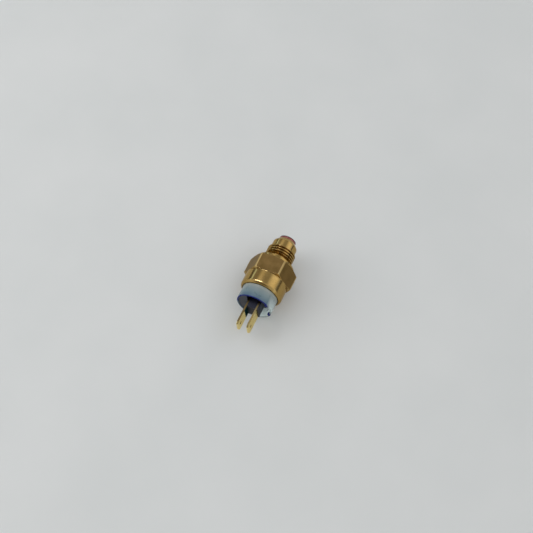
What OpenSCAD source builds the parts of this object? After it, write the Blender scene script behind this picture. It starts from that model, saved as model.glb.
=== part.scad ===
// Threaded pressure switch with a crimped two-blade connector.
// The switch lies on one flat of its hex. Its axis runs along Y: the port
// points to +Y and the connector to -Y. The origin is on the axis, in the
// plane of the seat face under the port thread.
// Every module is drawn upright first: z = 0 at the seat, +z to the connector.

/* [Port] */
// Outside diameter of the port thread, 1/2 in
thread_d = 12.7; // [12.6:0.05:12.8]
// Distance from one thread groove to the next, 20 to the inch
thread_pitch = 1.27; // [1.2:0.01:1.3]
// Number of thread grooves
thread_grooves = 4; // [3:1:4]
// Diameter of the plain pilot, and of the thread's roots
pilot_d = 11.1; // [10.9:0.05:11.2]
// Length of the port, from the seat face to the tip
port_length = 13.4; // [13.2:0.1:14.5]
// Diameter of the copper ring at the tip
tip_d = 7.6; // [7.2:0.1:7.7]
// Height of the copper ring
seal_h = 1.2; // [0.8:0.1:1.6]
// Diameter of the pressure bore
bore_d = 3.2; // [2:0.2:3.6]

/* [Body] */
// Wrench size across the flats, 3/4 in
hex_af = 19.05; // [19:0.05:19.1]
// Diameter of the turned seat face
seat_d = 17.2; // [16.8:0.2:18.4]
// Thickness of the turned seat under the hex
seat_h = 1; // [0.8:0.1:1.2]
// Height of the connector end of the hex, from the seat
hex_top = 9.6; // [9.2:0.1:10]
// Outside diameter of the crimp collar
collar_d = 19; // [18.8:0.05:19]
// Height of the rolled edge of the collar, from the seat
collar_top = 16.55; // [16.4:0.05:16.8]

/* [Connector] */
// Outside diameter of the connector sleeve
sleeve_d = 16; // [15.8:0.1:16.2]
// Wall of the connector sleeve
sleeve_wall = 0.65; // [0.5:0.05:0.65]
// Height of the sleeve's rim, from the seat
rim_top = 22.85; // [22.5:0.05:23.5]
// Height of the blade tips, from the seat
blade_top = 34.4; // [33:0.1:35]
// Blade width
blade_w = 6.3; // [6.2:0.1:6.3]
// Blade thickness
blade_t = 0.8; // [0.8:0.01:0.82]
// Centre of the left blade from the axis
left_x = -2.2; // [-2.4:0.05:-2.1]
// Centre of the right blade from the axis
right_x = 2.45; // [2.2:0.05:2.5]
// Diameter of the lock dimple in each blade
dimple_d = 1.4; // [1:0.1:1.6]
// Turn of the connector about the axis, against the hex
plug_turn = 5; // [0:1:10]

/* [Mechanism] */
// Travel of the piston and the transfer pin
travel = 0.35; // [0.3:0.01:0.36]
// Diameter of the snap disc
disc_d = 10.8; // [10.4:0.1:11]
// Thickness of the snap disc
disc_t = 0.2; // [0.15:0.05:0.25]
// Diameter of the transfer pin
pin_d = 2; // [1.6:0.1:2.2]
// Radial clearance of the transfer pin in its guide
pin_play = 0.05; // [0.03:0.01:0.1]
// Distance from the axis to the bend line that the contact arm turns on
arm_pivot_x = -3.3; // [-3.4:0.05:-3.2]
// Distance from the axis to the contacts
contact_x = 4.8; // [4.6:0.05:4.9]

/* [Hidden] */
$fn = 96;

// How far a cutting solid runs past the face it cuts
over = 0.5;
// Gap left between pieces that would otherwise share a face or an edge
gap = 0.02;

// Port
thread_r = thread_d / 2;
pilot_r = pilot_d / 2;
neck_r = pilot_r - 0.35;
tip_r = tip_d / 2;
flare_angle = 37;
spigot_r = tip_r - 1.2;
spigot_recess = 0.15;
shelf_z = seal_h - port_length;
seal_root_r = tip_r + 0.1;
cone_start_r = tip_r + 0.2;
cone_end = shelf_z + (pilot_r - cone_start_r) / tan(flare_angle);
first_groove = -6.05;
last_groove = first_groove + (thread_grooves - 1) * thread_pitch;
groove_half = (thread_r - pilot_r) * tan(30);
thread_start = first_groove - groove_half - 0.12;
lead_in = 0.35;

// Body
hex_r = hex_af / 2 / cos(30);
seat_r = seat_d / 2;
collar_r = collar_d / 2;
chamfer_slope = tan(30);
crown_slope = tan(20);
lip_roll = 1.5;
lip_thickness = 0.65;
lip_bore_r = sleeve_d / 2 + 0.17;
cup_r = 8.5;
cup_floor = 5;
fit_r = cup_r - 0.1;
chamber_r = 5;
chamber_depth = 0.5;

// Stack inside the cup, from the floor up
ring_r = 6.6;
ring_section = 1;
diaphragm_t = 0.25;
piston_bottom = cup_floor + diaphragm_t;
piston_r = 3.6;
piston_h = 0.7;
disc_r = disc_d / 2;
disc_dish = 0.45;
disc_bottom = piston_bottom + piston_h + 0.15;
disc_rim_top = disc_bottom + disc_dish + disc_t;
support_top = disc_rim_top + 0.7;
guide_top = support_top + 1.2;
guide_boss_r = 2.4;
guide_boss_h = 0.5;
pin_bottom = disc_bottom + disc_t + 0.04;
pin_dome_r = 3;

// Contact chamber
chamber_wall_r = 7.2;
chamber_top = 12.6;
foot_bottom = chamber_top - blade_t;
foot_end = 6.8;
foot_w = 4;
leaf_t = 0.25;
arm_w = 3.4;
arm_pivot_z = foot_bottom - 0.15;
arm_flat_z = 9.85;
arm_end = 6.2;
rivet_x = -4.9;
rivet_pitch = 2.2;
rivet_r = 0.5;
rivet_head_r = 0.85;
rivet_head_h = 0.5;
staked_h = 0.3;
contact_r = 1.3;
contact_dome = 0.2;
contact_shank_r = 0.6;
contact_gap = 0.95;
pin_top = arm_flat_z - gap;
moving_face = arm_flat_z + leaf_t + 0.4;
fixed_face = moving_face + contact_gap;

// Connector
core_r = sleeve_d / 2 - sleeve_wall - 0.05;
flange_z = 14.9;
flange_h = collar_top - lip_thickness - flange_z;
key_start = flange_z + flange_h + lip_thickness;
socket_floor = 18.3;
shelf_x = -2.8;
shelf_top = rim_top - 0.25;
core_flat_x = 3.3;
post_top = 25.3;
post_half_w = 3.1;
key_angles = [-24, 32];
key_w = 1.1;
key_depth = 0.95;
sealant_border = 0.15;
sealant_h = 0.7;
blade_chamfer = 0.9;
dimple_depth = 0.35;
dimple_from_tip = 2.3;
block_ring_z = 13.6;

// Lays an upright piece down, so that its axis runs along -Y
module laid() rotate([90, 0, 0]) children();

// Lays down a piece that is also turned with the connector
module plug_laid() laid() rotate([0, 0, plug_turn]) children();

// Round disc or ring between two heights
module ring(r_out, r_in, z0, z1) {
    translate([0, 0, z0]) difference() {
        cylinder(r = r_out, h = z1 - z0);
        if (r_in > 0) translate([0, 0, -over])
            cylinder(r = r_in, h = z1 - z0 + 2 * over);
    }
}

// Box given by its lowest and highest corner
module block(low, high) {
    translate(low) cube(high - low);
}

// Seal ring of round section
module seal_ring(r, z, section) {
    rotate_extrude() translate([r, z]) circle(d = section, $fn = 48);
}

// Upright half profile of the port: spigot, cone, pilot, ring grooves and neck
module port_profile() {
    grooves = [for (i = [0:thread_grooves - 2])
        let (z = first_groove + i * thread_pitch)
        each [[thread_r, z - groove_half], [pilot_r, z], [thread_r, z + groove_half]]];
    polygon(concat(
        [[0, spigot_recess - port_length], [spigot_r, spigot_recess - port_length],
         [spigot_r, shelf_z], [cone_start_r, shelf_z], [pilot_r, cone_end],
         [pilot_r, thread_start - lead_in], [thread_r, thread_start]],
        grooves,
        [[thread_r, last_groove - groove_half], [neck_r, last_groove],
         [neck_r, over], [0, over]]));
}

// Upright half profile that the hex is cut to: chamfers at both ends
module hex_limit_profile() {
    limit_r = hex_r + 0.1;
    top_r = collar_r + 0.25;
    polygon([[0, seat_h], [seat_r, seat_h],
        [limit_r, seat_h + (limit_r - seat_r) * chamfer_slope],
        [limit_r, hex_top - (limit_r - top_r) * crown_slope],
        [top_r, hex_top], [0, hex_top]]);
}

// Upright half profile of the collar with its rolled edge, and of the cup
module collar_profile() {
    roll_z = collar_top - lip_roll;
    difference() {
        union() {
            translate([0, hex_top - over]) square([collar_r, roll_z - hex_top + over]);
            translate([0, roll_z - over]) square([collar_r - lip_roll, lip_roll + over]);
            translate([collar_r - lip_roll, roll_z]) circle(r = lip_roll);
        }
        translate([-over, roll_z + lip_roll]) square([2 * collar_r, over]);
    }
}

// Port, wrench hex, cup and collar, turned from one bar
module hex_body() {
    groove_w = ring_section * 1.2;
    lip_under = flange_z + flange_h;
    color("#a0823f") laid() difference() {
        union() {
            rotate_extrude() port_profile();
            ring(seat_r, 0, 0, seat_h + over);
            intersection() {
                cylinder(r = hex_r, h = hex_top, $fn = 6);
                rotate_extrude() hex_limit_profile();
            }
            rotate_extrude() collar_profile();
        }
        translate([0, 0, cup_floor]) cylinder(r = cup_r, h = lip_under - cup_floor);
        translate([0, 0, lip_under - over])
            cylinder(r = lip_bore_r, h = collar_top - lip_under + 2 * over);
        translate([0, 0, cup_floor - chamber_depth])
            cylinder(r = chamber_r, h = chamber_depth + over);
        translate([0, 0, -port_length]) cylinder(d = bore_d, h = port_length + cup_floor);
        ring(ring_r + groove_w / 2, ring_r - groove_w / 2,
            cup_floor - ring_section, cup_floor + over);
    }
}

// Copper ring, pressed on the spigot, that seals ahead of the cone
module cone_seal() {
    color("#96604a") laid() rotate_extrude()
        polygon([[spigot_r, -port_length], [tip_r, -port_length],
            [seal_root_r, shelf_z], [spigot_r, shelf_z]]);
}

// Seals the cup floor against the diaphragm
module diaphragm_o_ring() {
    color("#202022") laid() seal_ring(ring_r, cup_floor - ring_section / 2, ring_section);
}

// Thin disc that closes the pressure side
module diaphragm() {
    color("#b3752a") laid() ring(fit_r, 0, cup_floor, cup_floor + diaphragm_t);
}

// Carries the diaphragm's force to the snap disc
module piston() {
    nub_r = 0.8;
    nub_h = 0.13;
    color("#b9bdc2") laid() {
        rotate_extrude() polygon([[0, piston_bottom], [piston_r, piston_bottom],
            [piston_r, piston_bottom + piston_h - 0.2],
            [piston_r - 0.2, piston_bottom + piston_h],
            [nub_r, piston_bottom + piston_h],
            [nub_r - 0.1, piston_bottom + piston_h + nub_h],
            [0, piston_bottom + piston_h + nub_h]]);
    }
}

// Ring that clamps the diaphragm; its ledge holds the snap disc's rim
module disc_support_ring() {
    color("#8f959b") laid() {
        ring(fit_r, disc_r + 0.3, piston_bottom, disc_rim_top + 0.1);
        ring(fit_r, disc_r - 0.5, disc_rim_top, support_top);
    }
}

// Dished disc that snaps over at the switching pressure
module snap_disc() {
    steps = 9;
    function dish(r) = disc_bottom + disc_dish * pow(r / disc_r, 2);
    lower = [for (i = [0:steps]) [i * disc_r / steps, dish(i * disc_r / steps)]];
    upper = [for (i = [steps:-1:0]) [i * disc_r / steps, dish(i * disc_r / steps) + disc_t]];
    color("#c2c6cb") laid() rotate_extrude() polygon(concat(lower, upper));
}

// Plate that guides the transfer pin
module pin_guide() {
    bore_r = pin_d / 2 + pin_play;
    color("#3a3a40") laid() difference() {
        union() {
            ring(fit_r, 0, support_top, guide_top);
            ring(guide_boss_r, 0, guide_top - over, guide_top + guide_boss_h);
        }
        translate([0, 0, support_top - over])
            cylinder(r = bore_r, h = guide_top - support_top + guide_boss_h + 2 * over);
    }
}

// Insulating pin between the snap disc and the contact arm
module transfer_pin() {
    color("#e6e2d8") laid() rotate_extrude() intersection() {
        translate([0, pin_bottom]) square([pin_d / 2, pin_top - pin_bottom]);
        translate([0, pin_top - pin_dome_r]) circle(r = pin_dome_r, $fn = 180);
    }
}

// Moulded insulator that carries the terminals and closes the cup
module terminal_block() {
    groove_h = ring_section * 1.1;
    slot = [blade_t / 2 + gap, blade_w / 2 + gap];
    color("#2f2f38") plug_laid() difference() {
        union() {
            ring(fit_r, 0, guide_top, flange_z);
            ring(core_r, 0, flange_z - over, key_start);
            intersection() {
                ring(core_r, 0, key_start - over, socket_floor);
                block([-core_r, -core_r, 0], [core_flat_x, core_r, rim_top]);
            }
            intersection() {
                ring(core_r, 0, socket_floor - over, shelf_top);
                block([-core_r, -core_r, 0], [shelf_x, core_r, rim_top]);
            }
            terminal_post();
        }
        ring(chamber_wall_r, 0, guide_top - over, chamber_top);
        ring(fit_r + over, fit_r + 0.1 - ring_section,
            block_ring_z - groove_h / 2, block_ring_z + groove_h / 2);
        for (x = [left_x, right_x]) {
            block([x - slot[0], -slot[1], chamber_top - over],
                [x + slot[0], slot[1], post_top + over]);
            sealant_pocket(x);
        }
        for (y = [-1, 1]) translate([rivet_x, y * rivet_pitch / 2, chamber_top - over])
            cylinder(r = rivet_head_r + 0.1, h = staked_h + 0.1 + over);
        translate([contact_x, 0, chamber_top - over])
            cylinder(r = contact_r, h = staked_h + 0.1 + over);
    }
}

// Post of the insulator that stands between the blades and behind the right one
module terminal_post() {
    left_edge = left_x + blade_t / 2 + gap;
    block([left_edge, -post_half_w, socket_floor - over],
        [core_flat_x, post_half_w, post_top]);
}

// Recess around a blade, filled by the sealant
module sealant_pocket(x) {
    half_w = blade_w / 2 + sealant_border;
    half_t = blade_t / 2 + sealant_border;
    block([x - half_t, -half_w, socket_floor - sealant_h],
        [x + half_t, half_w, socket_floor]);
}

// Seals the insulator in the cup
module block_o_ring() {
    color("#202022") laid() seal_ring(cup_r - ring_section / 2, block_ring_z, ring_section);
}

// Translucent sleeve around the socket, held by its flange under the rolled edge
module connector_sleeve() {
    inner_r = sleeve_d / 2 - sleeve_wall;
    color("#8fa9bb", 0.7) plug_laid() {
        ring(fit_r, inner_r, flange_z, flange_z + flange_h);
        ring(sleeve_d / 2, inner_r, flange_z + flange_h - 0.1, rim_top);
        for (a = key_angles) rotate([0, 0, a])
            block([inner_r - key_depth, -key_w / 2, key_start],
                [inner_r + sleeve_wall / 2, key_w / 2, rim_top - 0.1]);
    }
}

// Blade terminal: tab, and a foot that is bent outwards in the contact chamber
module terminal(x, outward) {
    tip_z = blade_top - blade_chamfer;
    half_w = blade_w / 2;
    outline = [[-half_w, foot_bottom], [half_w, foot_bottom], [half_w, tip_z],
        [half_w - blade_chamfer, blade_top], [blade_chamfer - half_w, blade_top],
        [-half_w, tip_z]];
    inner_face = x - outward * blade_t / 2;
    dimple_r = (pow(dimple_d / 2, 2) + pow(dimple_depth, 2)) / (2 * dimple_depth);
    difference() {
        union() {
            translate([x - blade_t / 2, 0, 0]) rotate([90, 0, 90])
                linear_extrude(blade_t) polygon(outline);
            block([min(inner_face, outward * foot_end), -foot_w / 2, foot_bottom],
                [max(inner_face, outward * foot_end), foot_w / 2, chamber_top]);
        }
        translate([x + blade_t / 2 + dimple_r - dimple_depth, 0, blade_top - dimple_from_tip])
            sphere(r = dimple_r);
    }
}

module left_terminal() {
    color("#c2a35c") plug_laid() difference() {
        terminal(left_x, -1);
        for (y = [-1, 1]) translate([rivet_x, y * rivet_pitch / 2, foot_bottom - over])
            cylinder(r = rivet_r, h = blade_t + 2 * over);
    }
}

module right_terminal() {
    color("#c2a35c") plug_laid() difference() {
        terminal(right_x, 1);
        translate([contact_x, 0, foot_bottom - over])
            cylinder(r = contact_shank_r, h = blade_t + 2 * over);
    }
}

// Sealing compound around the blades, at the floor of the socket
module terminal_sealant() {
    color("#4a3a2c") plug_laid() for (x = [left_x, right_x]) difference() {
        sealant_pocket(x);
        block([x - blade_t / 2, -blade_w / 2, chamber_top],
            [x + blade_t / 2, blade_w / 2, post_top]);
    }
}

// Two rivets that clamp the contact arm's root to the left terminal
module arm_rivets() {
    head_z = foot_bottom - leaf_t - rivet_head_h;
    color("#b08d46") plug_laid() for (y = [-1, 1])
        translate([rivet_x, y * rivet_pitch / 2, 0]) {
            ring(rivet_head_r, 0, head_z, foot_bottom - leaf_t);
            ring(rivet_r, 0, head_z + 0.1, chamber_top + 0.1);
            ring(rivet_head_r, 0, chamber_top, chamber_top + staked_h);
        }
}

// Root of the contact leaf, clamped flat under the left terminal
module arm_clamp() {
    root_end = arm_pivot_x - 0.2;
    color("#b5793c") plug_laid() difference() {
        block([-foot_end, -foot_w / 2, foot_bottom - leaf_t],
            [root_end, foot_w / 2, foot_bottom]);
        for (y = [-1, 1]) translate([rivet_x, y * rivet_pitch / 2, foot_bottom - over - leaf_t])
            cylinder(r = rivet_r, h = leaf_t + 2 * over);
    }
}

// Side view of a strip of leaf from one point to another, with round ends
module strip(from, to, t) {
    run = to - from;
    translate(from) circle(d = t, $fn = 32);
    translate(to) circle(d = t, $fn = 32);
    translate(from) rotate(atan2(run[1], run[0])) translate([0, -t / 2])
        square([norm(run), t]);
}

// Spring leaf that swings on its bend line and carries the moving contact
module contact_arm() {
    mid_z = arm_flat_z + leaf_t / 2;
    bend = [-2, mid_z];
    tip = [arm_end - leaf_t / 2, mid_z];
    color("#b5793c") plug_laid() difference() {
        translate([0, arm_w / 2, 0]) rotate([90, 0, 0]) linear_extrude(arm_w) {
            strip([arm_pivot_x, arm_pivot_z], bend, leaf_t);
            strip(bend, tip, leaf_t);
        }
        translate([contact_x, 0, arm_flat_z - over])
            cylinder(r = contact_shank_r, h = leaf_t + 2 * over);
    }
}

// Domed silver contact, riveted through the arm
module moving_contact() {
    sphere_r = (pow(contact_r, 2) + pow(contact_dome, 2)) / (2 * contact_dome);
    seat = arm_flat_z + leaf_t;
    color("#d5d7da") plug_laid() translate([contact_x, 0, 0]) {
        rotate_extrude() intersection() {
            translate([0, seat]) square([contact_r, moving_face - seat]);
            translate([0, moving_face - sphere_r]) circle(r = sphere_r, $fn = 180);
        }
        ring(contact_shank_r, 0, arm_flat_z - 0.1, seat + 0.1);
        ring(contact_shank_r + 0.3, 0, arm_flat_z - 0.25, arm_flat_z);
    }
}

// Flat silver contact, riveted through the right terminal's foot
module fixed_contact() {
    color("#d5d7da") plug_laid() translate([contact_x, 0, 0]) {
        ring(contact_r + 0.1, 0, fixed_face, foot_bottom);
        ring(contact_shank_r, 0, foot_bottom - 0.1, chamber_top + 0.1);
        ring(contact_shank_r + 0.4, 0, chamber_top, chamber_top + staked_h);
    }
}

hex_body();
cone_seal();
diaphragm_o_ring();
diaphragm();
piston();
disc_support_ring();
snap_disc();
pin_guide();
transfer_pin();
terminal_block();
block_o_ring();
connector_sleeve();
left_terminal();
right_terminal();
terminal_sealant();
arm_rivets();
arm_clamp();
contact_arm();
moving_contact();
fixed_contact();
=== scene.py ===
"""Pressure switch: its looks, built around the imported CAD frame.

Turned pieces are drawn upright, in millimetres: z = 0 at the seat face, +z towards the
connector. lay() turns them into the frame's own place: axis along -Y, in metres.
"""
import math

import bmesh
import bpy
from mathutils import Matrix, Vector


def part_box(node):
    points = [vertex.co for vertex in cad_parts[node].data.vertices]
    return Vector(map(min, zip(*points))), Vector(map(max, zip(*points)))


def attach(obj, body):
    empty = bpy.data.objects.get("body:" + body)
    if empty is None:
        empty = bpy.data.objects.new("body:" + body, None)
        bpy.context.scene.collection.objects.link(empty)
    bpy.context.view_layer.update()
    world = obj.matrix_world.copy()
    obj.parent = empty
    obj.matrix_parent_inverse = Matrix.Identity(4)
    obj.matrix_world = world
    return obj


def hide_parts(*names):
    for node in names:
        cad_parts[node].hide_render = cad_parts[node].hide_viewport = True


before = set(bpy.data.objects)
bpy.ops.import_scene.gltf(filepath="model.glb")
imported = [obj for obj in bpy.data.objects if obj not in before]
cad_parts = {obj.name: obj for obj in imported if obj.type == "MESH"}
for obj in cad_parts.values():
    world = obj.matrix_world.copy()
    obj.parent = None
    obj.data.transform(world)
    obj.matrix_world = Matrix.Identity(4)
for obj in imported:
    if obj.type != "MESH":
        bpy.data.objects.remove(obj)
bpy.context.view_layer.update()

MM = 0.001


# ---------------------------------------------------------------- sizes, mm

def mm_box(node):
    """Lowest and highest corner of a CAD node, in millimetres."""
    low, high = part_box(node)
    return Vector(low) / MM, Vector(high) / MM


body_low, body_high = mm_box("hex_body")
seal_low, seal_high = mm_box("cone_seal")
sleeve_low = mm_box("connector_sleeve")[0]

# Hex: flats, corners turned off, and the chamfers at its two ends
HEX_FLAT = body_high.z
HEX_CORNER = 10.96
SEAT_R = 8.6
SEAT_H = 1.0
SEAT_SLOPE = math.tan(math.radians(30.0))
HEX_TOP = 9.6
CROWN_R = 9.75
CROWN_SLOPE = math.tan(math.radians(20.0))

# Collar: a cup whose edge is rolled in over the sleeve's flange
COLLAR_R = 9.5
COLLAR_TOP = -body_low.y
LIP_ROLL = 1.5
LIP_BORE_R = 8.17
LIP_UNDER = 15.9
CUP_R = 8.5
CUP_FLOOR = 5.0
SEAL_GROOVE_R = (6.0, 7.2)
SEAL_GROOVE_DEPTH = 1.0
CHAMBER_R = 5.0
CHAMBER_DEPTH = 0.5
BORE_R = 1.6

# Nose: spigot with the copper ring, flare cone and pilot
NOSE_Z = -body_high.y
TIP_Z = -seal_high.y
TIP_R = 3.8
SPIGOT_R = 2.6
SHELF_Z = -seal_low.y
SEAL_ROOT_R = seal_high.x
CONE_START_R = 4.0
PILOT_R = 5.55
CONE_END = SHELF_Z + (PILOT_R - CONE_START_R) / math.tan(math.radians(37.0))

# Thread: one right-hand helix with 60 degree grooves, and the neck behind it. A groove's
# flat floor lies at the share GROOVE_FLOOR of the sharp V's depth.
THREAD_R = 6.35
PITCH = 1.27
THREAD_DEPTH = THREAD_R - PILOT_R
GROOVE_HALF = THREAD_DEPTH * math.tan(math.radians(30.0))
GROOVE_FLOOR = 0.93
GROOVE_Z = -6.05
LAST_GROOVE = GROOVE_Z + 3 * PITCH
THREAD_START = GROOVE_Z - GROOVE_HALF - 0.12
LEAD_IN = 0.35
NECK_R = 5.2

# Connector: sleeve with two keys, and two blades. Angles are in degrees from +x, the keys'
# before the whole connector is turned about the axis; a key's flank is half a degree wide.
PLUG_TURN = 5.0
SLEEVE_R = 8.0
SLEEVE_WALL = 0.65
SLEEVE_BORE_R = SLEEVE_R - SLEEVE_WALL
FLANGE_R = 8.4
FLANGE_Z = 14.92
RIM_TOP = -sleeve_low.y
KEY_ANGLES = (-24.0, 32.0)
KEY_HALF_W = 0.55
KEY_DEPTH = 0.9
KEY_FLANK = 0.5
DIMPLE_Z = 32.1
LEFT_FOOT_DARK_Z = 27.65

# Sleeve's colours: the side where the socket is hollow, the height up to which the
#  insulator fills it there, the side where the rim is painted the deep blue of gathered light,
#  and the key ends painted the same blue, as (angle, half width in degrees, inner radius, outer
#  radius)
HOLLOW_SIDE = -36.0
BACKED_Z = 17.8
BLUE_RIM_SIDE = 109.5
KEY_ENDS = ((KEY_ANGLES[0], 9.0, 6.5, 8.5), (KEY_ANGLES[1], 9.5, 6.1, 7.9))

FLOOR_Z = body_low.z

# Edges that turn by more degrees than this are shaded sharp
SHARP_ANGLE = 32.0


# ---------------------------------------------------------------- mesh tools

def lay(r, angle, z):
    """Upright (radius, angle in degrees, height) to a point in the frame."""
    a = math.radians(angle)
    return Vector((r * math.cos(a), -z, r * math.sin(a))) * MM


def arc(centre, radius, start, end, steps):
    """Points of an arc in the (radius, height) plane, from start to end degrees."""
    points = []
    for i in range(steps + 1):
        a = math.radians(start + (end - start) * i / steps)
        points.append((centre[0] + radius * math.cos(a), centre[1] + radius * math.sin(a)))
    return points


def line(a, b, steps):
    """Evenly spaced points from a to b, without the last."""
    return [(a[0] + (b[0] - a[0]) * i / steps, a[1] + (b[1] - a[1]) * i / steps)
            for i in range(steps)]


def even_angles(count, extra=()):
    """Angles all round, with some extra ones where a sharper shape needs them."""
    angles = {round(360.0 * i / count, 4) for i in range(count)}
    angles |= {round(a % 360.0, 4) for a in extra}
    return sorted(angles)


def finish_mesh(name, bm, material):
    """Cleans a bmesh, makes it a smooth-shaded piece and lets it ride on the body."""
    bmesh.ops.remove_doubles(bm, verts=bm.verts, dist=2e-6)
    bmesh.ops.dissolve_degenerate(bm, edges=bm.edges, dist=1e-6)
    bmesh.ops.recalc_face_normals(bm, faces=bm.faces)
    mesh = bpy.data.meshes.new(name)
    bm.to_mesh(mesh)
    bm.free()
    mesh.polygons.foreach_set("use_smooth", [True] * len(mesh.polygons))
    mesh.set_sharp_from_angle(angle=math.radians(SHARP_ANGLE))
    piece = bpy.data.objects.new(name, mesh)
    bpy.context.scene.collection.objects.link(piece)
    mesh.materials.append(material)
    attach(piece, "switch_body")
    return piece


def lathe(name, profile, angles, material, radius=None):
    """Closed piece from a closed half profile; radius(r, angle, z) can reshape it."""
    bm = bmesh.new()
    rows = []
    for r, z in profile:
        row = []
        for angle in angles:
            shaped = radius(r, angle, z) if radius else r
            row.append(bm.verts.new(lay(shaped, angle, z)))
        rows.append(row)
    count = len(angles)
    for i, low in enumerate(rows):
        high = rows[(i + 1) % len(rows)]
        for j in range(count):
            k = (j + 1) % count
            bm.faces.new((low[j], low[k], high[k], high[j]))
    return finish_mesh(name, bm, material)


# ---------------------------------------------------------------- node tools

class Nodes:
    """Short calls that add nodes to a tree; values can be numbers, colours or sockets."""

    def __init__(self, tree):
        self.tree = tree

    def feed(self, socket, value):
        """Links a socket to an input, or sets the input's value."""
        if isinstance(value, bpy.types.NodeSocket):
            self.tree.links.new(value, socket)
        elif isinstance(value, tuple) and len(value) == 3 and socket.type == "RGBA":
            socket.default_value = (*value, 1.0)
        else:
            socket.default_value = value

    def node(self, kind, **inputs):
        """Adds a shader node; inputs are named with underscores for spaces."""
        made = self.tree.nodes.new("ShaderNode" + kind)
        for key, value in inputs.items():
            self.feed(made.inputs[key.replace("_", " ")], value)
        return made

    def ramp(self, fac, *stops):
        """Colour ramp through stops of (place, colour)."""
        made = self.node("ValToRGB", Fac=fac)
        elements = made.color_ramp.elements
        while len(elements) < len(stops):
            elements.new(0.5)
        for element, (place, colour) in zip(elements, stops):
            element.position = place
            element.color = (*colour, 1.0)
        return made.outputs[0]

    def span(self, value, low, high, to_low=0.0, to_high=1.0):
        """Straight line from (low, to_low) to (high, to_high), held beyond both ends."""
        return self.node("MapRange", Value=value, From_Min=low, From_Max=high,
                         To_Min=to_low, To_Max=to_high).outputs[0]

    def mix(self, fac, a, b):
        """Colour a where fac is 0, b where it is 1."""
        made = self.node("Mix")
        made.data_type = "RGBA"
        for socket, value in ((made.inputs[0], fac), (made.inputs[6], a), (made.inputs[7], b)):
            self.feed(socket, value)
        return made.outputs[2]

    def maths(self, operation, a, b=0.0):
        made = self.node("Math")
        made.operation = operation
        self.feed(made.inputs[0], a)
        self.feed(made.inputs[1], b)
        return made.outputs[0]

    def times(self, a, b):
        return self.maths("MULTIPLY", a, b)

    def apart(self, a, b):
        """Distance between two numbers."""
        return self.maths("ABSOLUTE", self.maths("SUBTRACT", a, b))

    def length(self, a, b):
        """Length of the vector (a, b)."""
        return self.maths("SQRT", self.maths("ADD", self.times(a, a), self.times(b, b)))

    def towards(self, angle, x, z):
        """How far (x, z) lies in the direction of an angle from +x, in degrees."""
        a = math.radians(angle)
        return self.maths("ADD", self.times(x, math.cos(a)), self.times(z, math.sin(a)))


class Paint(Nodes):
    """A material under construction, with coordinates in millimetres."""

    def __init__(self, name):
        self.material = bpy.data.materials.new(name)
        self.material.use_nodes = True
        super().__init__(self.material.node_tree)
        self.tree.nodes.clear()
        self.bsdf = self.node("BsdfPrincipled")
        self.node("OutputMaterial", Surface=self.bsdf.outputs[0])
        coords = self.node("TexCoord")
        self.mm = self.stretch(coords.outputs["Object"], (1 / MM, 1 / MM, 1 / MM))
        self.facing = self.node("SeparateXYZ", Vector=coords.outputs["Normal"]).outputs

    def set(self, **values):
        for key, value in values.items():
            self.feed(self.bsdf.inputs[key.replace("_", " ")], value)

    def stretch(self, vector, scale):
        return self.node("Mapping", Vector=vector, Scale=scale).outputs[0]

    def noise(self, scale, detail=3.0, rough=0.5, vector=None):
        """Noise with about scale lumps per millimetre."""
        return self.node("TexNoise", Vector=vector or self.mm, Scale=scale, Detail=detail,
                         Roughness=rough).outputs[0]

    def rings(self, pitch, distortion):
        """Turning marks: bands around the axis, pitch millimetres apart."""
        band_at_scale_1 = 0.314
        made = self.node("TexWave", Vector=self.mm, Scale=band_at_scale_1 / pitch,
                         Distortion=distortion, Detail_Scale=0.4)
        made.bands_direction = "Y"
        return made.outputs["Fac"]

    def bump(self, height, depth_mm, strength=1.0, normal=None):
        made = self.node("Bump", Height=height, Distance=depth_mm * MM, Strength=strength)
        if normal:
            self.feed(made.inputs["Normal"], normal)
        return made.outputs[0]

    def place(self):
        """The frame's x, y and z of the point being shaded, in millimetres.

        The axis is along y, so a height z in the list of sizes is -y here.
        """
        return self.node("SeparateXYZ", Vector=self.mm).outputs

    def around(self):
        """Angle around the axis of the point being shaded, in degrees from +x."""
        x, y, z = self.place()
        return self.maths("DEGREES", self.maths("ARCTAN2", z, x))

    def from_axis(self):
        """Distance from the axis of the point being shaded, in millimetres."""
        x, y, z = self.place()
        return self.length(x, z)

    def edge_wear_and_highlight(self):
        """1 on convex edges, 0 elsewhere; it places edge wear and painted highlight."""
        return self.span(self.node("NewGeometry").outputs["Pointiness"], 0.52, 0.58)

    def crevices(self, reach_mm, open_above=0.9):
        """1 deep in corners and grooves, 0 where the surface is open."""
        made = self.node("AmbientOcclusion", Distance=reach_mm * MM)
        made.samples = 8
        return self.span(made.outputs["AO"], open_above, 0.3)


# ---------------------------------------------------------------- materials

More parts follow.
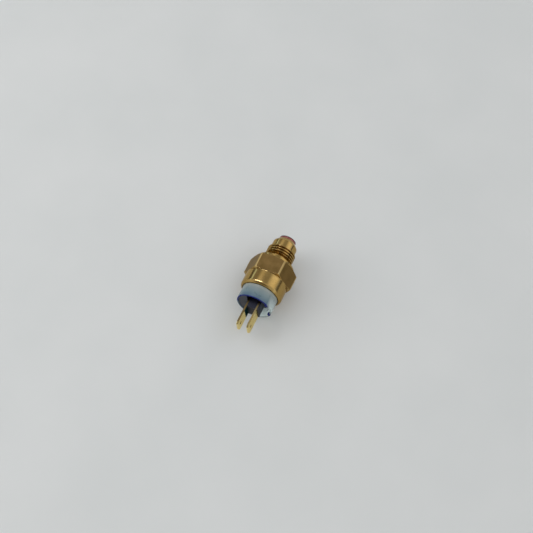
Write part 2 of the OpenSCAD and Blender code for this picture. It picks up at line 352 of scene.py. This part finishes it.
def turned_brass():
    """Bright where it was turned, duller on the drawn flats, with painted shade in the grooves
    and corners.
    """
    p = Paint("turned_brass")
    y = p.place()[1]
    cloud = p.noise(0.22, 4.0, 0.6)
    turned = p.ramp(cloud, (0.30, (0.37, 0.240, 0.075)), (0.55, (0.44, 0.288, 0.095)),
                    (0.75, (0.50, 0.335, 0.12)))
    drawn = p.ramp(cloud, (0.30, (0.145, 0.087, 0.025)), (0.70, (0.225, 0.137, 0.044)))
    in_hex = p.times(p.maths("LESS_THAN", y, -SEAT_H), p.maths("GREATER_THAN", y, -HEX_TOP))
    side_on = p.maths("LESS_THAN", p.maths("ABSOLUTE", p.facing[1]), 0.1)
    flats = p.times(in_hex, side_on)
    colour = p.mix(flats, turned, drawn)
    speck = p.span(p.noise(2.5, 2.0, 0.6), 0.55, 0.75, 0.0, 0.35)
    colour = p.mix(speck, colour, (0.20, 0.12, 0.04))
    # Painted shade, in the dark brown of oxide: ambient occlusion darkens grooves and corners,
    # weaker and orange-brown on the thread and nose.
    grooved = p.span(y, 1.0, 1.6)
    oxide_and_crevice_shade = p.times(p.crevices(1.4), p.span(grooved, 0.0, 1.0, 0.92, 0.65))
    colour = p.mix(oxide_and_crevice_shade, colour, p.mix(grooved, (0.055, 0.032, 0.010), (0.12, 0.055, 0.014)))
    # Painted shade: a near-black ring on the lip's inner edge, where it meets the sleeve.
    lip_seam_shade = p.times(p.span(p.from_axis(), LIP_BORE_R + 0.42, LIP_BORE_R + 0.2),
                   p.maths("LESS_THAN", y, -LIP_UNDER))
    colour = p.mix(p.times(lip_seam_shade, 0.9), colour, (0.040, 0.022, 0.010))
    # Edge wear and painted highlight: the lands of the hex corners and the convex edges are
    # painted bright brass.
    from_corner = p.maths("PINGPONG", p.around(), 30.0)
    corner = p.times(in_hex, p.span(from_corner, 2.9, 1.9))
    wear_and_highlight = p.maths("MAXIMUM", p.times(corner, 0.75), p.times(p.edge_wear_and_highlight(), 0.5))
    colour = p.mix(wear_and_highlight, colour, (0.60, 0.43, 0.17))
    rough = p.span(p.noise(1.2, 3.0), 0.3, 0.7, 0.11, 0.19)
    rough = p.maths("ADD", rough, p.times(flats, 0.22))
    marks = p.bump(p.rings(0.22, 1.5), 0.003, 0.4)
    grain = p.bump(p.noise(6.0, 2.0), 0.004, 0.3, marks)
    p.set(Base_Color=colour, Metallic=1.0, Roughness=rough, Normal=grain,
          Specular_Tint=(0.93, 0.85, 0.71))
    return p.material


def blade_brass():
    """Bright rolled faces with lengthwise streaks, edge wear with painted highlight on the open
    edges, painted shade on the sheared edges and in the dimple; the foot of the left blade's
    inner face is dark teal and not metallic."""
    p = Paint("blade_brass")
    cloud = p.noise(0.5, 3.0)
    streak = p.noise(1.0, 3.0, 0.6, p.stretch(p.mm, (6.0, 0.35, 6.0)))
    x, y, z = p.place()
    colour = p.ramp(cloud, (0.30, (0.88, 0.68, 0.25)), (0.70, (1.0, 0.84, 0.37)))
    colour = p.mix(p.span(streak, 0.48, 0.72, 0.0, 0.45), colour, (0.38, 0.26, 0.07))
    sheared = p.span(p.maths("ABSOLUTE", p.facing[2]), 0.60, 0.85)
    # Painted shade on the sheared top and bottom edges, over their rougher finish: near
    # black-brown, deeper on the left blade.
    colour = p.mix(p.times(sheared, p.span(x, -0.5, 0.5, 0.94, 0.82)), colour,
                   (0.085, 0.050, 0.014))
    # Edge wear with painted highlight: the open edges of the blade faces are painted pale
    # bright brass.
    open_edge_wear_and_highlight = p.times(p.edge_wear_and_highlight(), p.span(sheared, 0.0, 1.0, 0.5, 0.0))
    colour = p.mix(open_edge_wear_and_highlight, colour, (0.92, 0.76, 0.38))
    # Painted shade in the dimple: a dark spot on the blades' outward faces.
    along = p.maths("ADD", y, DIMPLE_Z)
    across = p.maths("SUBTRACT", z, p.times(x, math.tan(math.radians(PLUG_TURN))))
    from_dimple = p.length(along, across)
    dimple = p.times(p.span(from_dimple, 0.85, 0.60), p.span(p.facing[0], 0.1, 0.3))
    colour = p.mix(p.times(dimple, 0.75), colour, (0.20, 0.12, 0.03))
    # Dark teal, not metallic and without specular, on the foot of the left blade's inner face
    # up to a fixed height.
    inner_face = p.times(p.maths("LESS_THAN", x, 0.0), p.span(p.facing[0], 0.6, 0.8))
    left_foot_dark = p.times(inner_face, p.span(y, -LEFT_FOOT_DARK_Z - 0.1, -LEFT_FOOT_DARK_Z + 0.1))
    colour = p.mix(left_foot_dark, colour, (0.004, 0.030, 0.040))
    rough = p.maths("ADD", p.span(streak, 0.2, 0.8, 0.12, 0.22), p.times(sheared, 0.2))
    p.set(Base_Color=colour, Metallic=p.span(left_foot_dark, 0.0, 1.0, 1.0, 0.0), Roughness=rough,
          Specular_IOR_Level=p.span(left_foot_dark, 0.0, 1.0, 0.5, 0.0),
          Specular_Tint=(0.95, 0.88, 0.70), Normal=p.bump(streak, 0.006, 0.5))
    return p.material


def copper():
    """Dull pink copper, with a painted dark reflection at the very tip."""
    p = Paint("soft_copper")
    cloud = p.noise(0.6, 4.0, 0.6)
    colour = p.ramp(cloud, (0.25, (0.28, 0.085, 0.080)), (0.5, (0.39, 0.14, 0.13)),
                    (0.75, (0.48, 0.20, 0.17)))
    # Painted dark reflection: the rounded tip is near black.
    tip = p.span(p.place()[1], -TIP_Z - 0.75, -TIP_Z - 0.35, 0.0, 0.95)
    colour = p.mix(tip, colour, (0.030, 0.008, 0.009))
    p.set(Base_Color=colour, Metallic=1.0, Roughness=p.span(cloud, 0.3, 0.7, 0.34, 0.5),
          Normal=p.bump(p.noise(4.0, 3.0), 0.010, 0.5))
    return p.material


def sleeve_plastic():
    """Frosted pale blue where the insulator backs it, with painted shade darkening it towards
    the rim, and clear where the socket is hollow; light gathers to a deep blue at the upper rim
    and in the ends of the keys."""
    p = Paint("blue_translucent")
    x, y, z = p.place()
    radius = p.from_axis()
    around = p.around()
    solid_side = p.span(p.towards(HOLLOW_SIDE, x, z), 3.0, 1.4)
    backed = p.maths("MAXIMUM", solid_side, p.span(y, -BACKED_Z - 3.0, -BACKED_Z))
    near_rim = p.span(y, -RIM_TOP + 0.42, -RIM_TOP + 0.12)
    inside = p.maths("LESS_THAN", radius, SLEEVE_BORE_R + 0.03)
    upper = p.span(p.towards(BLUE_RIM_SIDE, x, z), 1.9, 2.7)
    deep = p.times(p.times(p.maths("MAXIMUM", near_rim, inside), backed), upper)
    for angle, half, inner, outer in KEY_ENDS:
        away = p.apart(around, PLUG_TURN + angle)
        end = p.times(p.times(p.span(radius, inner, inner + 0.2),
                              p.span(radius, outer, outer - 0.3)),
                      p.span(y, -RIM_TOP + 1.3, -RIM_TOP + 0.9))
        deep = p.maths("MAXIMUM", deep, p.times(end, p.span(away, half, half - 1.5)))
    # Painted shade: where the insulator backs it, the opaque wall grows darker and bluer from
    # the collar to the rim, for the dark insulator behind it; the clear wall is darker near the
    # rim.
    along = p.span(y, -COLLAR_TOP, -RIM_TOP)
    wall = p.ramp(along, (0.0, (0.43, 0.46, 0.41)), (0.2, (0.27, 0.32, 0.32)),
                  (0.6, (0.170, 0.245, 0.270)), (1.0, (0.070, 0.135, 0.21)))
    clear_wall = p.mix(near_rim, (0.66, 0.73, 0.72), (0.48, 0.53, 0.53))
    wall = p.mix(backed, clear_wall, wall)
    colour = p.mix(deep, wall, (0.008, 0.016, 0.17))
    clear = p.span(backed, 0.0, 1.0, 0.65, 0.0)
    open_side = p.times(p.span(solid_side, 1.0, 0.0), inside)
    # Painted light: the inner wall on the hollow side glows faintly, less where it is deep
    # blue.
    painted_glow = p.times(open_side, p.span(deep, 0.0, 1.0, 0.19, 0.0))
    p.set(Base_Color=colour, Roughness=p.span(p.noise(0.5), 0.3, 0.7, 0.26, 0.32),
          IOR=p.span(backed, 0.0, 1.0, 1.14, 1.45),
          Specular_IOR_Level=p.span(deep, 0.0, 1.0, 0.5, 0.2),
          Normal=p.bump(p.noise(0.8, 2.0), 0.004, 0.2),
          Transmission_Weight=p.times(clear, p.span(deep, 0.0, 1.0, 1.0, 0.0)),
          Emission_Color=(0.80, 0.92, 0.92), Emission_Strength=painted_glow)
    return p.material


def moulded_plastic():
    """Glass-filled dark plastic, with painted light on its end faces and painted shade in its
    corners.
    """
    p = Paint("moulded_dark")
    cloud = p.noise(0.35, 4.0)
    # Painted light and shade: faces turned towards the connector's open end are painted lighter
    # than the other faces.
    sides = p.ramp(cloud, (0.3, (0.009, 0.009, 0.018)), (0.7, (0.018, 0.018, 0.030)))
    ends = p.ramp(cloud, (0.3, (0.038, 0.042, 0.062)), (0.7, (0.056, 0.060, 0.080)))
    colour = p.mix(p.span(p.facing[1], -0.5, -0.8), sides, ends)
    # Painted shade: near black in the corners that ambient occlusion finds.
    colour = p.mix(p.times(p.crevices(4.0, 0.95), 0.9), colour, (0.001, 0.001, 0.006))
    fibre = p.noise(5.0, 3.0, 0.6)
    p.set(Base_Color=colour, Roughness=p.span(fibre, 0.3, 0.7, 0.40, 0.55),
          Specular_IOR_Level=0.3, Normal=p.bump(fibre, 0.01, 0.4))
    return p.material


def simple(name, dark, light, rough, metallic, scale):
    """A cloudy material for the small inner pieces, with fine surface grain."""
    p = Paint(name)
    cloud = p.noise(scale, 4.0, 0.6)
    p.set(Base_Color=p.ramp(cloud, (0.3, dark), (0.7, light)), Metallic=metallic,
          Roughness=p.span(cloud, 0.3, 0.7, rough * 0.8, rough * 1.2),
          Normal=p.bump(p.noise(scale * 6.0, 2.0), 0.006, 0.4))
    return p.material


BRASS = turned_brass()
BLADE = blade_brass()
COPPER = copper()
SLEEVE = sleeve_plastic()
PLASTIC = moulded_plastic()
RUBBER = simple("black_rubber", (0.010, 0.010, 0.011), (0.022, 0.022, 0.022), 0.55, 0.0, 1.5)
FILM = simple("amber_film", (0.30, 0.12, 0.02), (0.42, 0.18, 0.03), 0.25, 0.0, 0.6)
STEEL = simple("plated_steel", (0.42, 0.43, 0.44), (0.58, 0.59, 0.60), 0.30, 1.0, 0.8)
SPRING = simple("spring_steel", (0.55, 0.56, 0.58), (0.68, 0.69, 0.70), 0.18, 1.0, 0.8)
CERAMIC = simple("ceramic", (0.66, 0.63, 0.55), (0.78, 0.76, 0.70), 0.30, 0.0, 1.2)
SEALANT = simple("sealant", (0.030, 0.022, 0.018), (0.060, 0.045, 0.035), 0.45, 0.0, 1.0)
BRONZE = simple("spring_bronze", (0.44, 0.22, 0.08), (0.58, 0.32, 0.13), 0.28, 1.0, 0.9)
SILVER = simple("silver", (0.66, 0.66, 0.67), (0.80, 0.80, 0.80), 0.22, 1.0, 1.5)

NODE_MATERIALS = {
    "diaphragm_o_ring": RUBBER, "block_o_ring": RUBBER, "diaphragm": FILM,
    "piston": STEEL, "disc_support_ring": STEEL, "snap_disc": SPRING,
    "pin_guide": PLASTIC, "terminal_block": PLASTIC, "transfer_pin": CERAMIC,
    "left_terminal": BLADE, "right_terminal": BLADE, "terminal_sealant": SEALANT,
    "arm_rivets": BLADE, "arm_clamp": BRONZE, "contact_arm": BRONZE,
    "moving_contact": SILVER, "fixed_contact": SILVER,
}


# ---------------------------------------------------------------- turned pieces

def hex_radius(angle):
    """Distance from the axis to the hex's side, with its corners turned off."""
    from_middle = (angle % 60.0) - 30.0
    return min(HEX_FLAT / math.cos(math.radians(from_middle)), HEX_CORNER)


def thread_radius(r, angle, z):
    """Cuts the thread's groove, one helix, into the radius r."""
    turns = (z - GROOVE_Z) / PITCH - angle / 360.0
    from_groove = abs(turns - round(turns)) * PITCH
    cut = max(0.0, 1.0 - from_groove / GROOVE_HALF)
    cut = min(cut, GROOVE_FLOOR) / GROOVE_FLOOR
    return min(r, THREAD_R - THREAD_DEPTH * cut)


def body_profile():
    """Closed half profile of the brass body: nose, thread, hex, collar, cup and bore.

    Walls carry extra points where thread_radius() or hex_radius() reshapes them, and where
    they keep the bands of edge wear and painted highlight, which are found at each point,
    narrow.
    """
    outer = [(BORE_R + 0.1, NOSE_Z), (SPIGOT_R - 0.08, NOSE_Z), (SPIGOT_R, NOSE_Z + 0.08)]
    outer += [(SPIGOT_R, SHELF_Z), (CONE_START_R - 0.06, SHELF_Z)]
    outer += line((CONE_START_R, SHELF_Z + 0.04), (PILOT_R - 0.16, CONE_END - 0.21), 10)
    outer += arc((PILOT_R - 0.8, CONE_END + 0.27), 0.8, -37, 0, 7)
    outer += line((PILOT_R, CONE_END + 0.5), (PILOT_R, THREAD_START - LEAD_IN), 12)
    outer += line((PILOT_R, THREAD_START - LEAD_IN), (THREAD_R, THREAD_START), 8)
    land_end = LAST_GROOVE - GROOVE_HALF
    outer += line((THREAD_R, THREAD_START), (THREAD_R, land_end), 66)
    outer += line((THREAD_R, land_end), (NECK_R + 0.1, LAST_GROOVE - 0.05), 8)
    outer += line((NECK_R, LAST_GROOVE + 0.06), (NECK_R, -0.25), 5)
    outer += arc((NECK_R + 0.25, -0.25), 0.25, 180, 90, 5)
    outer += [(7.0, 0.0), (SEAT_R - 0.22, 0.0)]
    outer += arc((SEAT_R - 0.2, 0.2), 0.2, -90, 0, 5)
    outer += [(SEAT_R, SEAT_H - 0.1), (SEAT_R + 0.04, SEAT_H)]
    reach = HEX_CORNER + 0.1
    foot = SEAT_H + (reach - SEAT_R) * SEAT_SLOPE
    outer += line((SEAT_R + 0.1, SEAT_H + 0.1 * SEAT_SLOPE), (reach, foot), 26)
    crown = HEX_TOP - (reach - CROWN_R) * CROWN_SLOPE
    outer += line((reach, foot), (reach, crown), 10)
    outer += line((reach, crown), (CROWN_R, HEX_TOP), 18)
    outer += line((CROWN_R, HEX_TOP), (COLLAR_R + 0.12, HEX_TOP), 2)
    outer += arc((COLLAR_R + 0.12, HEX_TOP + 0.12), 0.12, -90, -180, 4)
    outer += line((COLLAR_R, HEX_TOP + 0.3), (COLLAR_R, COLLAR_TOP - LIP_ROLL), 8)
    outer += arc((COLLAR_R - LIP_ROLL, COLLAR_TOP - LIP_ROLL), LIP_ROLL, 0, 80, 14)
    outer += arc((LIP_BORE_R + 0.15, COLLAR_TOP - 0.17), 0.15, 80, 180, 5)
    groove_in, groove_out = SEAL_GROOVE_R
    groove_floor = CUP_FLOOR - SEAL_GROOVE_DEPTH
    chamber_floor = CUP_FLOOR - CHAMBER_DEPTH
    inner = [(LIP_BORE_R, LIP_UNDER), (CUP_R, LIP_UNDER), (CUP_R, CUP_FLOOR)]
    inner += [(groove_out, CUP_FLOOR), (groove_out, groove_floor)]
    inner += [(groove_in, groove_floor), (groove_in, CUP_FLOOR)]
    inner += [(CHAMBER_R, CUP_FLOOR), (CHAMBER_R, chamber_floor), (BORE_R, chamber_floor)]
    inner += [(BORE_R, NOSE_Z + 0.1)]
    return outer + inner


def brass_body():
    """One turned and milled piece, from the nose to the rolled edge of the collar."""
    land = math.degrees(math.acos(HEX_FLAT / HEX_CORNER))
    corners = [60.0 * i + 30.0 + side * land for i in range(6) for side in (-1, 1)]

    def shape(r, angle, z):
        if THREAD_START - LEAD_IN < z < LAST_GROOVE and r > PILOT_R:
            return thread_radius(r, angle, z)
        if SEAT_H <= z <= HEX_TOP + 0.2 and r > COLLAR_R:
            return min(r, hex_radius(angle))
        return r

    piece = lathe("brass_body", body_profile(), even_angles(180, corners), BRASS, shape)
    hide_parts("hex_body")


def copper_ring():
    """Soft copper ring at the tip of the cone, slightly crushed at its edges."""
    profile = [(SPIGOT_R + 0.02, TIP_Z + 0.1), (SPIGOT_R + 0.12, TIP_Z)]
    profile += line((SPIGOT_R + 0.2, TIP_Z), (TIP_R - 0.3, TIP_Z), 3)
    profile += arc((TIP_R - 0.27, TIP_Z + 0.3), 0.3, -90, -5, 7)
    profile += line((TIP_R + 0.03, TIP_Z + 0.5), (SEAL_ROOT_R - 0.01, SHELF_Z - 0.12), 6)
    profile += [(SEAL_ROOT_R, SHELF_Z - 0.05), (SEAL_ROOT_R - 0.05, SHELF_Z)]
    profile += [(SPIGOT_R + 0.02, SHELF_Z)]
    piece = lathe("copper_ring", profile, even_angles(144), COPPER)
    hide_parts("cone_seal")


def translucent_sleeve():
    """Thin tube with a rounded rim, a flange under the collar and two inner keys."""
    bore = SLEEVE_BORE_R
    key_half = math.degrees(KEY_HALF_W / bore)
    edges = [PLUG_TURN + a + side * (key_half + step) for a in KEY_ANGLES
             for side in (-1, 1) for step in (0.0, KEY_FLANK)]

    def shape(r, angle, z):
        if r > bore + 0.2 or z < COLLAR_TOP:
            return r
        away = [abs((angle - PLUG_TURN - a + 180.0) % 360.0 - 180.0) for a in KEY_ANGLES]
        return r - KEY_DEPTH if min(away) <= key_half + 0.01 else r

    outer_edge, inner_edge = 0.22, 0.18
    flange_top = LIP_UNDER - 0.02
    profile = [(FLANGE_R, FLANGE_Z), (FLANGE_R, flange_top), (SLEEVE_R, flange_top)]
    profile += line((SLEEVE_R, COLLAR_TOP), (SLEEVE_R, RIM_TOP - outer_edge), 6)
    profile += arc((SLEEVE_R - outer_edge, RIM_TOP - outer_edge), outer_edge, 0, 90, 6)
    profile += arc((bore + inner_edge, RIM_TOP - inner_edge), inner_edge, 90, 180, 5)
    profile += line((bore, RIM_TOP - 0.4), (bore, COLLAR_TOP + 0.01), 5)
    profile += [(bore, COLLAR_TOP - 0.01), (bore, FLANGE_Z)]
    piece = lathe("translucent_sleeve", profile, even_angles(180, edges), SLEEVE, shape)
    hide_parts("connector_sleeve")


# ---------------------------------------------------------------- carried-over pieces

BROKEN_EDGES = {"terminal_block": 0.10, "left_terminal": 0.07, "right_terminal": 0.07}


def dress_nodes():
    """Gives each remaining CAD node its material, and broken edges to the hard ones."""
    for name, material in NODE_MATERIALS.items():
        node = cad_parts[name]
        node.data.materials.clear()
        node.data.materials.append(material)
        weld = node.modifiers.new("weld", "WELD")
        weld.merge_threshold = 1e-6
        if name in BROKEN_EDGES:
            bevel = node.modifiers.new("edges", "BEVEL")
            bevel.width = BROKEN_EDGES[name] * MM
            bevel.segments = 2
            bevel.limit_method = "ANGLE"
            bevel.angle_limit = math.radians(40.0)


# ---------------------------------------------------------------- room, light, camera

# Metres
TABLE_HALF = 1.5
LIGHT_DISTANCE = 0.9

# Brightness of the room ahead of the camera, by the angle from the right-hand horizon
BRIGHTEST = 1.3
ROOM_LEVELS = ((0, 0.14), (10, 0.16), (18, 0.52), (26, 1.10), (38, 1.28), (50, 1.20),
               (62, 0.90), (74, 0.42), (86, 0.44), (98, 0.50), (108, 0.76), (118, 0.90),
               (134, 0.36), (146, 0.38), (161, 0.42), (170, 0.12), (180, 0.22))
COOL_WINDOW = 159.5


def floor():
    """Pale matt table, large enough to fill the view."""
    p = Paint("table")
    cloud = p.noise(0.02, 4.0)
    p.set(Base_Color=p.ramp(cloud, (0.3, (0.75, 0.765, 0.755)), (0.7, (0.79, 0.80, 0.79))),
          Roughness=0.9, Normal=p.bump(p.noise(1.5, 3.0), 0.01, 0.3))
    mesh = bpy.data.meshes.new("table")
    corners = [(x * TABLE_HALF, y * TABLE_HALF, FLOOR_Z * MM)
               for x, y in ((-1, -1), (1, -1), (1, 1), (-1, 1))]
    mesh.from_pydata(corners, [], [(0, 1, 2, 3)])
    mesh.materials.append(p.material)
    table = bpy.data.objects.new("table", mesh)
    bpy.context.scene.collection.objects.link(table)


def softbox(name, direction, size, power, colour):
    """Rectangular light that stands in a direction from the part and faces it."""
    light = bpy.data.lights.new(name, "AREA")
    light.shape = "RECTANGLE"
    light.size, light.size_y = size
    light.energy = power
    light.color = colour
    lamp = bpy.data.objects.new(name, light)
    towards = Vector(direction).normalized()
    lamp.location = towards * LIGHT_DISTANCE
    lamp.rotation_euler = towards.to_track_quat("Z", "Y").to_euler()
    bpy.context.scene.collection.objects.link(lamp)
    return lamp


def lights():
    """A window that only lights surfaces and a lamp that only shows as a reflection."""
    window = softbox("window", (-0.80, -0.24, 0.54), (0.6, 0.6), 1.8, (1.0, 0.99, 0.97))
    window.visible_glossy = False
    lamp = softbox("lamp", (-0.44, -0.03, 0.935), (0.31, 0.60), 3.65, (0.95, 1.06, 1.55))
    lamp.visible_diffuse = False


def room():
    """Room around the table: broad light behind the camera with a dark patch where the
    viewer stands; ahead, bands of light and shade from low on the right, over the ceiling,
    to a narrow cool window low on the left."""
    world = bpy.data.worlds.new("room")
    bpy.context.scene.world = world
    world.use_nodes = True
    n = Nodes(world.node_tree)
    x, y, z = n.node("SeparateXYZ", Vector=n.node("TexCoord").outputs["Generated"]).outputs
    from_right = n.maths("DIVIDE", n.maths("ARCTAN2", z, x), math.pi)
    ahead = n.ramp(from_right, *[(angle / 180.0, (level / BRIGHTEST,) * 3)
                                 for angle, level in ROOM_LEVELS])
    from_window = n.apart(n.times(from_right, 180.0), COOL_WINDOW)
    ahead = n.mix(n.span(from_window, 5.0, 2.0), ahead, (0.85, 1.15, 1.45))
    behind = (0.80 / BRIGHTEST, 0.82 / BRIGHTEST, 0.83 / BRIGHTEST)
    around = n.mix(n.span(y, 0.25, -0.25), ahead, behind)
    towards_camera = n.maths("ADD", n.times(y, -0.78),
                             n.maths("ADD", n.times(x, -0.15), n.times(z, 0.60)))
    around = n.mix(n.span(towards_camera, 0.76, 0.92), around, (0.18, 0.17, 0.16))
    background = n.tree.nodes["Background"]
    n.feed(background.inputs["Color"], around)
    background.inputs["Strength"].default_value = BRIGHTEST


def camera():
    """Looks down at the part from the connector's side; distances are in millimetres."""
    azimuth, elevation = math.radians(24.2), math.radians(59.1)
    distance, aim = 436.4, Vector((0.0, -7.4, 0.0))
    shift_left, shift_up = 0.93, 4.86
    back = Vector((math.sin(azimuth) * math.cos(elevation),
                   -math.cos(azimuth) * math.cos(elevation), math.sin(elevation)))
    right = Vector((math.cos(azimuth), math.sin(azimuth), 0.0))
    up = back.cross(right)
    data = bpy.data.cameras.new("camera")
    data.sensor_width = 36.0
    data.lens = 68.2
    data.clip_start = 0.01
    view = bpy.data.objects.new("camera", data)
    view.location = (aim + back * distance - right * shift_left + up * shift_up) * MM
    view.rotation_euler = back.to_track_quat("Z", "Y").to_euler()
    bpy.context.scene.collection.objects.link(view)
    bpy.context.scene.camera = view


brass_body()
copper_ring()
translucent_sleeve()
dress_nodes()
floor()
room()
lights()
camera()
bpy.context.scene.view_settings.view_transform = "Standard"
